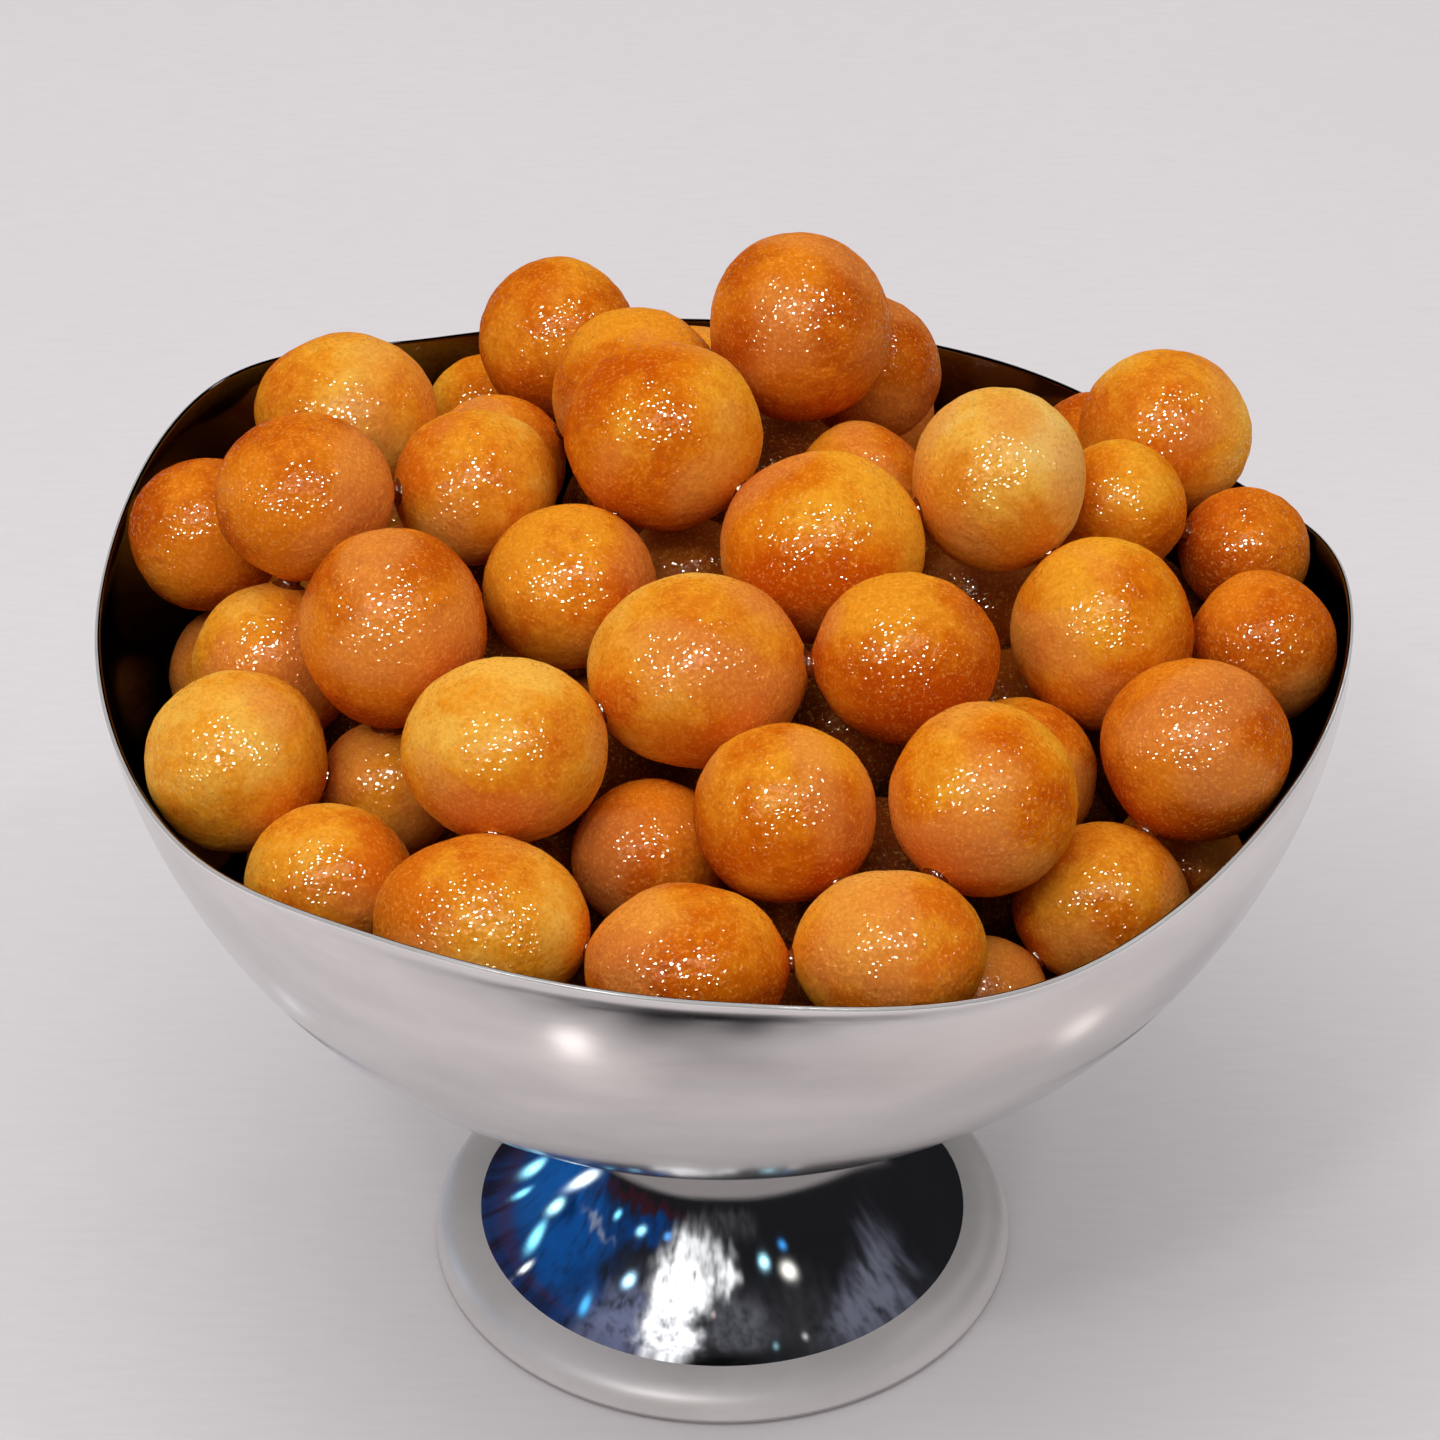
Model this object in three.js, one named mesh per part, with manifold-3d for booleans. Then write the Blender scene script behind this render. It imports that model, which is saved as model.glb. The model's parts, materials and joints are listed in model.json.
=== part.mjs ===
// A bowl of luqaimat: syrup-glazed dough balls heaped in a wavy-rimmed steel bowl on a flared foot.
// Millimetres, +Z up, the foot stands on z = 0, and the front of the bowl faces -Y.
import * as THREE from "three";
import { mergeVertices } from "three/addons/utils/BufferGeometryUtils.js";
import Module from "manifold-3d";

const wasm = await Module();
wasm.setup();

// ---- driving dimensions ----

const GAP = 0.35; // clearance between neighbouring pieces
const WALL_GAP = 1.1; // clearance between a ball and the bowl wall, whose flat facets stand in a little

// Bowl: a body of revolution cut off by a rim that rises and falls.
const BOWL_RADIUS = 125; // outside, at its widest
const BOWL_BOTTOM = 64; // height of the lowest point of the body
const BOWL_DEPTH = 101.5; // from that point up to where the wall stands upright
const BOWL_FULLNESS = 2.8; // larger is flatter underneath
const BOWL_SWELL = 1.587; // larger brings the widest part lower
const STEEL = 1.2; // sheet thickness
const RIM_HEIGHTS = [170, 157, 158, 159, 164, 178, 166, 157, 165, 163, 155, 166]; // every 30 degrees from +X
const BOWL_SIDES = 56;
const BOWL_OUTER_ROWS = 9;
const BOWL_INNER_ROWS = 8;
const ROW_CROWDING = 2.2; // above 1, the rows lie closer together towards the bottom

// Foot: a satin band at the floor, a crease, and a mirror-polished flare up to the neck.
const BASE_RADIUS = 63.2;
const CREASE_RADIUS = 53;
const CREASE_HEIGHT = 8;
const BAND_SQUARENESS = 3.7; // 2 would be a quarter ellipse
const FLARE_RADIUS = 54; // radius of the arc from the crease to the neck
const FLARE_START = THREE.MathUtils.degToRad(35); // its slope at the crease
const BASE_FLANGE = 3.5; // width of the turned-in ring that stands on the floor
const FOOT_SIDES = 36;
const BAND_STEPS = 4;
const FLARE_STEPS = 4;

// The dough balls that show, from the front of the bowl to the back:
// centre x, y, z, then width, height and tone.
const BALLS = [
  [-44, -92, 155, 41, 33, "golden"],
  [-7, -103, 154, 38, 31, "amber"],
  [30, -100, 154, 36, 31, "amber"],
  [50, -90, 134, 27, 27, "amber"],
  [-73, -72, 150, 33, 30, "amber"],
  [72, -73, 145, 34, 31, "amber"],
  [-41, -59, 171, 40, 35, "golden"],
  [-13, -62, 149, 31, 30, "amber"],
  [12, -73, 166, 35, 35, "golden"],
  [48, -73, 169, 36, 37, "golden"],
  [-94, -45, 158, 36, 36, "pale"],
  [-66, -35, 145, 28, 28, "pale"],
  [91, -53, 166, 37, 36, "amber"],
  [91, -45, 132, 28, 28, "dark"],
  [57, -44, 155, 31, 31, "amber"],
  [-63, -29, 178, 37, 40, "golden"],
  [-4, -40, 176, 43, 38, "pale"],
  [35, -42, 180, 36, 33, "golden"],
  [75, -20, 171, 36, 39, "golden"],
  [107, -14, 164, 30, 31, "amber"],
  [-90, -8, 156, 33, 33, "pale"],
  [59, -8, 143, 29, 29, "dark"],
  [-29, -11, 177, 35, 33, "golden"],
  [19, -8, 184, 41, 38, "golden"],
  [-83, 4, 188, 36, 33, "dark"],
  [55, 5, 189, 35, 38, "pale"],
  [-101, 15, 138, 30, 30, "amber"],
  [-7, 16, 158, 31, 31, "dark"],
  [-11, 15, 194, 40, 39, "dark"],
  [-49, 16, 182, 34, 32, "golden"],
  [-106, 20, 169, 32, 32, "amber"],
  [52, 17, 156, 28, 28, "dark"],
  [80, 21, 176, 28, 28, "pale"],
  [107, 21, 164, 28, 27, "dark"],
  [28, 25, 176, 28, 29, "golden"],
  [-97, 45, 143, 30, 30, "amber"],
  [16, 48, 201, 38, 40, "dark"],
  [60, 46, 160, 30, 30, "golden"],
  [-18, 51, 184, 36, 36, "golden"],
  [-47, 51, 167, 29, 29, "golden"],
  [92, 51, 173, 37, 35, "golden"],
  [-79, 62, 172, 39, 34, "golden"],
  [31, 70, 178, 31, 32, "dark"],
  [81, 74, 154, 27, 27, "amber"],
  [-74, 74, 139, 32, 32, "amber"],
  [-35, 82, 178, 35, 35, "golden"],
  [63, 84, 136, 36, 36, "golden"],
  [-6, 90, 158, 34, 33, "amber"],
  [-52, 94, 152, 29, 29, "amber"],
  [30, 99, 150, 35, 34, "golden"],
];
const UNEVEN = 0.045; // share of the radius by which a ball falls short of its round outline
const WAVES = 5; // slow waves that make up that unevenness
const WAVE_TURN = 2.6; // most radians that a wave turns through from a ball's middle to its skin
const WAVE_DRAWS = 7; // random numbers set aside for each wave
const SETTLE_ROUNDS = 400;
const LINING_STEPS = 120; // steps in which the wall is measured for it
const LINING_SHARE = 1.15; // how high they go, as a share of the bowl's depth
const SMALL_BALL = 30.5; // narrower ones get fewer faces

// The lower layers, seen only through the gaps: balls pushed up from below, joined by a mound.
const LOWER_BALL = 33; // across
const LOWER_TRIES = 12; // spacing of the places where one is tried
const LOWER_PRESS = 1; // how far two of them may press into each other
const MOUND_BELOW = 16; // how far the mound stays under the balls over it
const MOUND_SPREAD = 12; // how far round each ball it does so
const MOUND_TOP = 150;
const MOUND_SIDES = 24;
const MOUND_ROWS = 4;
const MOUND_RINGS = 5;
const MOUND_REACH = 100; // radius of its edge

// ---- materials ----

const TONES = {
  pale: [0xd9a24a, 0.34],
  golden: [0xcf7f22, 0.3],
  amber: [0xbf6a24, 0.38],
  dark: [0xa84f18, 0.28],
};

function material([color, roughness], metalness) {
  return new THREE.MeshStandardMaterial({ color, roughness, metalness });
}

const doughs = Object.fromEntries(Object.entries(TONES).map(([name, look]) => [name, material(look, 0)]));
const satinSteel = material([0xc9c4c2, 0.28], 1);
const mirrorSteel = material([0xd6d8dc, 0.06], 1);

// ---- small helpers ----

// A repeatable random number from 0 to 1 for a pair of whole numbers.
function chance(a, b) {
  const s = Math.sin(a * 127.1 + b * 311.7) * 43758.5453;
  return s - Math.floor(s);
}

// Joins the rows of a grid of points, closed round the axis, into one surface.
// A row that is a single point on the axis closes the surface there.
function surfaceOfRows(rows, sides) {
  const points = [];
  const starts = [];
  for (const row of rows) {
    starts.push(points.length / 3);
    for (const p of row) {
      points.push(...p);
    }
  }
  const index = [];
  for (let i = 0; i + 1 < rows.length; i++) {
    const lowIsPoint = rows[i].length === 1;
    const highIsPoint = rows[i + 1].length === 1;
    for (let j = 0; j < sides; j++) {
      const k = (j + 1) % sides;
      const a = starts[i] + (lowIsPoint ? 0 : j);
      const b = starts[i] + (lowIsPoint ? 0 : k);
      const c = starts[i + 1] + (highIsPoint ? 0 : k);
      const d = starts[i + 1] + (highIsPoint ? 0 : j);
      if (!lowIsPoint) {
        index.push(a, b, c);
      }
      if (!highIsPoint) {
        index.push(a, c, d);
      }
    }
  }
  const geometry = new THREE.BufferGeometry();
  geometry.setAttribute("position", new THREE.Float32BufferAttribute(points, 3));
  geometry.setIndex(index);
  return geometry;
}

function ring(radius, height, sides) {
  return Array.from({ length: sides }, (_, j) => {
    const angle = (2 * Math.PI * j) / sides;
    return [radius * Math.cos(angle), radius * Math.sin(angle), height];
  });
}

function solidOf(geometry) {
  const bare = geometry.clone();
  bare.deleteAttribute("normal");
  bare.deleteAttribute("uv");
  const merged = mergeVertices(bare, 1e-4);
  const vertProperties = merged.attributes.position.array;
  const triVerts = new Uint32Array(merged.index.array);
  return new wasm.Manifold(new wasm.Mesh({ numProp: 3, vertProperties, triVerts }));
}

function geometryOf(solid) {
  const { vertProperties, triVerts } = solid.getMesh();
  const geometry = new THREE.BufferGeometry();
  geometry.setAttribute("position", new THREE.BufferAttribute(vertProperties, 3));
  geometry.setIndex(new THREE.BufferAttribute(triVerts, 1));
  return geometry;
}

function mesh(name, geometry, look) {
  const made = new THREE.Mesh(geometry, look);
  made.name = name;
  geometry.computeVertexNormals();
  return made;
}

// ---- bowl ----

// Radius of the body at a height above its lowest point.
function bodyRadius(height, widest) {
  const share = THREE.MathUtils.clamp(height / BOWL_DEPTH, 0, 1);
  return widest * (1 - (1 - share) ** BOWL_SWELL) ** (1 / BOWL_FULLNESS);
}

// Rim height at an angle: a smooth closed curve through the named heights.
function rimHeight(angle) {
  const count = RIM_HEIGHTS.length;
  const place = ((angle / (2 * Math.PI)) * count + count) % count;
  const i = Math.floor(place);
  const t = place - i;
  const [p0, p1, p2, p3] = [-1, 0, 1, 2].map((k) => RIM_HEIGHTS[(i + k + count) % count]);
  const bend = 2 * p0 - 5 * p1 + 4 * p2 - p3;
  return p1 + 0.5 * t * (p2 - p0 + t * (bend + t * (3 * (p1 - p2) + p3 - p0)));
}

// One wall surface, from just off the axis up to the rim.
function wallRows(widest, bottom, count) {
  return Array.from({ length: count }, (_, i) => {
    const share = ((i + 1) / count) ** ROW_CROWDING;
    return Array.from({ length: BOWL_SIDES }, (_, j) => {
      const angle = (2 * Math.PI * j) / BOWL_SIDES;
      const height = share * (rimHeight(angle) - bottom);
      const radius = bodyRadius(height, widest);
      return [radius * Math.cos(angle), radius * Math.sin(angle), bottom + height];
    });
  });
}

function bowl() {
  const outer = wallRows(BOWL_RADIUS, BOWL_BOTTOM, BOWL_OUTER_ROWS);
  const inner = wallRows(BOWL_RADIUS - STEEL, BOWL_BOTTOM + STEEL, BOWL_INNER_ROWS).reverse();
  const rows = [[[0, 0, BOWL_BOTTOM]], ...outer, ...inner, [[0, 0, BOWL_BOTTOM + STEEL]]];
  return mesh("bowl", surfaceOfRows(rows, BOWL_SIDES), satinSteel);
}

// ---- foot ----

// The outside from the floor up to the neck as [radius, height], and the way out of the sheet there.
function footOutline() {
  const width = BASE_RADIUS - CREASE_RADIUS;
  const points = [];
  for (let i = 0; i <= BAND_STEPS; i++) {
    const turn = (Math.PI / 2) * (i / BAND_STEPS);
    const out = Math.cos(turn) ** (2 / BAND_SQUARENESS);
    const up = Math.sin(turn) ** (2 / BAND_SQUARENESS);
    points.push([CREASE_RADIUS + width * out, CREASE_HEIGHT * up]);
  }
  for (let i = 1; i <= FLARE_STEPS; i++) {
    const slope = FLARE_START + (Math.PI / 2 - FLARE_START) * (i / FLARE_STEPS);
    const inward = FLARE_RADIUS * (Math.sin(slope) - Math.sin(FLARE_START));
    const up = FLARE_RADIUS * (Math.cos(FLARE_START) - Math.cos(slope));
    points.push([CREASE_RADIUS - inward, CREASE_HEIGHT + up]);
  }
  return points;
}

// The same outline moved by the sheet thickness to the hollow side.
function footLining(outline) {
  return outline.map(([r, z], i) => {
    const [r0, z0] = outline[Math.max(i - 1, 0)];
    const [r1, z1] = outline[Math.min(i + 1, outline.length - 1)];
    const length = Math.hypot(r1 - r0, z1 - z0);
    return [r - (STEEL * (z1 - z0)) / length, Math.max(z + (STEEL * (r1 - r0)) / length, STEEL)];
  });
}

function foot() {
  const top = BOWL_BOTTOM - GAP;
  const outline = footOutline();
  const lining = footLining(outline);
  const neck = outline.at(-1)[0];
  const hollow = lining.at(-1)[0];
  const rows = [
    [[0, 0, top - STEEL]],
    ring(hollow, top - STEEL, FOOT_SIDES),
    ...lining.reverse().map(([r, z]) => ring(r, z, FOOT_SIDES)),
    ring(BASE_RADIUS - BASE_FLANGE, STEEL, FOOT_SIDES),
    ring(BASE_RADIUS - BASE_FLANGE, 0, FOOT_SIDES),
    ...outline.map(([r, z]) => ring(r, z, FOOT_SIDES)),
    ring(neck, top, FOOT_SIDES),
    [[0, 0, top]],
  ];
  return mesh("foot", surfaceOfRows(rows, FOOT_SIDES), mirrorSteel);
}

// ---- balls ----

// The inside of the bowl wall as [radius, height] steps, for keeping the balls clear of it.
const LINING = Array.from({ length: LINING_STEPS }, (_, i) => {
  const height = LINING_SHARE * BOWL_DEPTH * (i / (LINING_STEPS - 1)) ** 2;
  return [bodyRadius(height, BOWL_RADIUS - STEEL), BOWL_BOTTOM + STEEL + height];
});

// How far a round body reaches in a direction.
function reach(ball, way) {
  return Math.hypot(ball.radii.x * way.x, ball.radii.y * way.y, ball.radii.z * way.z);
}

function pushApart(a, b) {
  const way = b.centre.clone().sub(a.centre);
  const distance = way.length();
  way.divideScalar(distance);
  const overlap = reach(a, way) + reach(b, way) + GAP - distance;
  if (overlap > 0) {
    a.centre.addScaledVector(way, -overlap / 2);
    b.centre.addScaledVector(way, overlap / 2);
  }
}

function pushOffWall(ball) {
  const out = Math.hypot(ball.centre.x, ball.centre.y);
  let nearest = [Infinity, 0, 0];
  for (const [radius, height] of LINING) {
    const gap = Math.hypot(radius - out, height - ball.centre.z);
    if (gap < nearest[0]) {
      nearest = [gap, radius - out, height - ball.centre.z];
    }
  }
  const [gap, outward, upward] = nearest;
  const way = new THREE.Vector3((outward * ball.centre.x) / out, (outward * ball.centre.y) / out, upward);
  way.divideScalar(gap);
  const overlap = reach(ball, way) + WALL_GAP - gap;
  if (overlap > 0) {
    ball.centre.addScaledVector(way, -overlap);
  }
}

// Reads the list and nudges each ball until none presses into another or into the bowl.
function settledBalls() {
  const balls = BALLS.map(([x, y, z, width, height, tone]) => ({
    centre: new THREE.Vector3(x, y, z),
    radii: new THREE.Vector3(width / 2, (width + height) / 4, height / 2),
    tone,
  }));
  for (let round = 0; round < SETTLE_ROUNDS; round++) {
    balls.forEach((a, i) => balls.slice(i + 1).forEach((b) => pushApart(a, b)));
    balls.forEach(pushOffWall);
  }
  return balls;
}

// A round body with shallow dents, all inside its round outline.
function unevenBall(radii, seed) {
  const geometry = new THREE.IcosahedronGeometry(1, 2 * radii.x < SMALL_BALL ? 1 : 2);
  const waves = Array.from({ length: WAVES }, (_, w) => {
    const draws = Array.from({ length: WAVE_DRAWS }, (_, k) => chance(seed, WAVE_DRAWS * w + k));
    const [x, y, z] = draws.map((draw) => WAVE_TURN * (2 * draw - 1));
    return { way: new THREE.Vector3(x, y, z), start: 2 * Math.PI * draws.at(-2) };
  });
  const position = geometry.attributes.position;
  const point = new THREE.Vector3();
  for (let i = 0; i < position.count; i++) {
    point.fromBufferAttribute(position, i).normalize();
    const swell = waves.reduce((sum, { way, start }) => sum + Math.sin(way.dot(point) + start), 0);
    point.multiplyScalar(1 - UNEVEN * (0.5 - swell / (2 * WAVES))).multiply(radii);
    position.setXYZ(i, point.x, point.y, point.z);
  }
  geometry.deleteAttribute("normal");
  geometry.deleteAttribute("uv");
  return mergeVertices(geometry, 1e-4);
}

function ballMesh(ball, i) {
  const name = "luqaimat_" + String(i + 1).padStart(2, "0");
  const made = mesh(name, unevenBall(ball.radii, i + 1), doughs[ball.tone]);
  made.position.copy(ball.centre);
  return made;
}

// ---- lower layers ----

// Height of the mound at a place: a set way under the lowest ball near it.
function moundHeight(x, y, balls) {
  const heights = balls
    .filter(({ centre, radii }) => Math.hypot(centre.x - x, centre.y - y) < radii.x + MOUND_SPREAD)
    .map(({ centre, radii }) => centre.z - radii.z - MOUND_BELOW);
  return Math.min(MOUND_TOP, ...heights);
}

function mound(balls) {
  const bottom = BOWL_BOTTOM + STEEL + WALL_GAP;
  const side = Array.from({ length: MOUND_ROWS }, (_, i) => {
    const share = ((i + 1) / MOUND_ROWS) ** 2;
    return Array.from({ length: MOUND_SIDES }, (_, j) => {
      const angle = (2 * Math.PI * j) / MOUND_SIDES;
      const edge = moundHeight(MOUND_REACH * Math.cos(angle), MOUND_REACH * Math.sin(angle), balls);
      const height = share * (edge - bottom);
      const out = Math.min(bodyRadius(height, BOWL_RADIUS - STEEL) - WALL_GAP, MOUND_REACH);
      return [out * Math.cos(angle), out * Math.sin(angle), bottom + height];
    });
  });
  const top = Array.from({ length: MOUND_RINGS }, (_, i) => {
    const out = MOUND_REACH * (1 - (i + 1) / (MOUND_RINGS + 1));
    return ring(out, 0, MOUND_SIDES).map(([x, y]) => [x, y, moundHeight(x, y, balls)]);
  });
  const peak = [0, 0, moundHeight(0, 0, balls)];
  return surfaceOfRows([[[0, 0, bottom]], ...side, ...top, [peak]], MOUND_SIDES);
}

// The height at which a lower ball pushed up from below meets the balls over it.
function raisedHeight(x, y, radius, balls) {
  let height = Infinity;
  for (const { centre, radii } of balls) {
    const touch = Math.max(radii.x, radii.y, radii.z) + radius + GAP;
    const aside = Math.hypot(centre.x - x, centre.y - y);
    if (aside < touch) {
      height = Math.min(height, centre.z - Math.sqrt(touch ** 2 - aside ** 2));
    }
  }
  return height;
}

// The places of the lower balls, the highest that fit first.
function lowerPlaces(radius, balls) {
  const steps = Math.ceil(BOWL_RADIUS / LOWER_TRIES);
  const tries = [];
  for (let row = -steps; row <= steps; row++) {
    for (let column = -steps; column <= steps; column++) {
      const x = (column + (row % 2) / 2) * LOWER_TRIES;
      const y = row * LOWER_TRIES;
      const place = new THREE.Vector3(x, y, raisedHeight(x, y, radius, balls));
      const out = Math.hypot(x, y);
      const wall = Math.min(...LINING.map(([r, z]) => Math.hypot(r - out, z - place.z)));
      const inside = out < bodyRadius(place.z - BOWL_BOTTOM, BOWL_RADIUS);
      if (place.z < Infinity && inside && wall > radius + WALL_GAP) {
        tries.push(place);
      }
    }
  }
  tries.sort((a, b) => b.z - a.z);
  const apart = 2 * radius - LOWER_PRESS;
  const kept = [];
  for (const place of tries) {
    if (kept.every((other) => other.distanceTo(place) > apart)) {
      kept.push(place);
    }
  }
  return kept;
}

function lowerLayers(balls) {
  const radius = LOWER_BALL / 2;
  let solid = solidOf(mound(balls));
  for (const place of lowerPlaces(radius, balls)) {
    const lump = new THREE.IcosahedronGeometry(radius, 1);
    lump.translate(place.x, place.y, place.z);
    solid = solid.add(solidOf(lump));
  }
  const [largest] = solid.decompose().sort((a, b) => b.volume() - a.volume());
  return mesh("luqaimat_lower_layers", geometryOf(largest), doughs.dark);
}

// ---- the whole ----

const balls = settledBalls();
const bowlOfLuqaimat = new THREE.Group();
bowlOfLuqaimat.add(bowl(), foot(), lowerLayers(balls), ...balls.map(ballMesh));

export default bowlOfLuqaimat;
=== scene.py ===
"""A footed steel bowl heaped with syrup-glazed dough balls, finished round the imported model.

Metres, +Z up. The foot stands on z = 0 and the front of the bowl faces -Y.
"""

import json
import math

import bpy
import numpy as np
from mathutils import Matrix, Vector, noise

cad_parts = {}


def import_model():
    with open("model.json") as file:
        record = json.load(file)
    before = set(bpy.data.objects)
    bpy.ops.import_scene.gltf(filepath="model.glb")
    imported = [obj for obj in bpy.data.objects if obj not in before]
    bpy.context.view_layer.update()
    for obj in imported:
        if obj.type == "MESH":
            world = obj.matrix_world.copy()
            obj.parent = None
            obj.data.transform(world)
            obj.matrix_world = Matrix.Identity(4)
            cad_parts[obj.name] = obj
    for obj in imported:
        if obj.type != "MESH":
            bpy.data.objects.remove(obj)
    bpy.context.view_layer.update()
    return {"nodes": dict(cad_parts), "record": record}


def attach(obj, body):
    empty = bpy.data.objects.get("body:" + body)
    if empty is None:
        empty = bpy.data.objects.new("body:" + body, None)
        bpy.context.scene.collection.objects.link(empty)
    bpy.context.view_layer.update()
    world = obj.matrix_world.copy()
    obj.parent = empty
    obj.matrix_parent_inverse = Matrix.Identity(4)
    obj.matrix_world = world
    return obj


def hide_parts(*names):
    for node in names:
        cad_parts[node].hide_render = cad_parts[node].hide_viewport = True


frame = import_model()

MM = 0.001
BODY = "root"
SEED = 1000

# ---- the bowl and its foot, in millimetres, with the values of the solids ----

BOWL_RADIUS = 125
BOWL_BOTTOM = 64
BOWL_DEPTH = 101.5
BOWL_FULLNESS = 2.8
BOWL_SWELL = 1.587
STEEL = 1.2
RIM_HEIGHTS = [170, 157, 158, 159, 164, 178, 166, 157, 165, 163, 155, 166]  # every 30 degrees from +X
BOWL_SIDES = 288
BOWL_ROWS = 44
ROW_CROWDING = 1.8
LIP_STEPS = 6

BASE_RADIUS = 63.2
CREASE_RADIUS = 53
CREASE_HEIGHT = 8
BAND_SQUARENESS = 2.7  # a little rounder than the solid's
FLARE_RADIUS = 54
FLARE_START = math.radians(35)
BASE_FLANGE = 3.5
EASE = [(-3.0, 0), (-2.4, 0.7), (-0.6, 0.9), (-0.05, 1.4)]  # the band's rolled-in bottom edge
NECK_FILLET = 2.2
NECK_TOP = 63.65
FOOT_SIDES = 192
BAND_STEPS = 18
FLARE_STEPS = 30
FILLET_STEPS = 6

# ---- the balls ----

FRONT_DETAIL = 29  # cuts along each edge of the icosahedron, for balls that show well
BACK_DETAIL = 17  # and for balls that are mostly covered
FORM_SHARPNESS = 0.3  # how closely the fine skin follows the corners of the solid, per corner
DENT_SIZE = 12  # millimetres across a soft dent
DENT_DEPTH = 0.55
WRINKLE_SIZE = 5.5  # millimetres between fine wrinkles
WRINKLE_WIDTH = 0.16
WRINKLE_DEPTH = 0.1
WRINKLED = (0.0, 0.35)  # over these noise values the wrinkles come in
PEBBLE_SIZE = 2.4
PEBBLE_DEPTH = 0.14
BROWNING_SIZE = 15  # millimetres across a browned patch
BROWNING_PATCHES = 0.75  # how strongly patches brown the crust, and how much darker one side of the ball is, as painted shade, which is mostly its lower side
SIDE_BROWNING_AND_SHADE = 0.34  # and one side of the ball,
UNDERSIDE_SHADE = 0.9  # which is mostly its lower side
MOTTLE_SIZES = (4.0, 1.9)
MOTTLE = 0.2
DRY_SIDE = 0.35
DRY = (0.05, 0.45)  # over these values the crust turns from wet to dry
BLISTER_ZONE = 7  # millimetres across a patch of skin with many or few blisters
BLISTER_EDGE = 0.25
FEWEST_BLISTERS = 0.35

# ---- where neighbours press on each other ----

TOUCH_REACH = 2.2  # widest gap in millimetres that the soft dough closes
TOUCH_GAP = 0.15
TOUCH_SPREAD = 0.022  # how far round the contact the dough swells, as one minus a cosine
SOAK_SPREAD = 0.06  # how far round the contact syrup pools, smoothing the skin and wetting the crust, and how much the crust darkens there, on the scale of the browning: painted shade between neighbours
CONTACT_SHADE = 0.45  # and how much it darkens it, on the scale of the browning

# ---- the lower layers ----

LUMP_RADIUS = 16.5
LUMP_DETAIL = 8
LUMP_VOTES = 5  # facets of one lump that must agree on its centre,
LUMP_AGREEMENT = 0.2  # to this many millimetres
VOXEL = 1.7
SMOOTHING_ROUNDS = 4

# ---- syrup between neighbours ----

BRIDGE_RADIUS = (2.2, 3.8)
BRIDGE_WAIST = 0.34  # share of the radius by which its middle draws in,
BRIDGE_FLARE = 0.6  # below 1 it draws in nearer its ends
BRIDGE_SIDES = 28
BRIDGE_STEPS = 9
BRIDGE_SUNK = 0.5  # how far its ends reach into the balls


def rng_for(key):
    """A seeded random generator for a whole number."""
    return np.random.default_rng(SEED + key)


# ---- meshes from arrays ----


def new_object(name, vertices, faces, materials, smooth=True):
    """An object from vertices in millimetres; faces of three or four corners, with -1 for no fourth."""
    mesh = bpy.data.meshes.new(name)
    lists = [[int(c) for c in face if c >= 0] for face in faces]
    mesh.from_pydata((np.asarray(vertices) * MM).tolist(), [], lists)
    for material in materials:
        mesh.materials.append(material)
    mesh.polygons.foreach_set("use_smooth", [smooth] * len(mesh.polygons))
    mesh.update()
    made = bpy.data.objects.new(name, mesh)
    bpy.context.scene.collection.objects.link(made)
    return made


def add_values(obj, name, values):
    """Stores one number for each vertex, for the material to read."""
    attribute = obj.data.attributes.new(name, "FLOAT", "POINT")
    attribute.data.foreach_set("value", np.asarray(values, np.float32))


def revolve(outline, sides):
    """Vertices and faces of an outline of (radius, height) turned round the axis; radius 0 closes it."""
    angles = np.arange(sides) * (2 * math.pi / sides)
    vertices = []
    rings = []
    for radius, height in outline:
        if radius == 0:
            rings.append([len(vertices)] * sides)
            vertices.append((0, 0, height))
            continue
        rings.append(list(range(len(vertices), len(vertices) + sides)))
        vertices += [(radius * math.cos(a), radius * math.sin(a), height) for a in angles]
    return np.array(vertices, float), ring_faces(rings, sides)


def ring_faces(rings, sides):
    """Faces between each ring of vertex numbers and the next."""
    faces = []
    for low, high in zip(rings, rings[1:]):
        for j in range(sides):
            k = (j + 1) % sides
            corners = list(dict.fromkeys([low[j], low[k], high[k], high[j]]))
            faces.append(corners + [-1] * (4 - len(corners)))
    return faces


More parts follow.
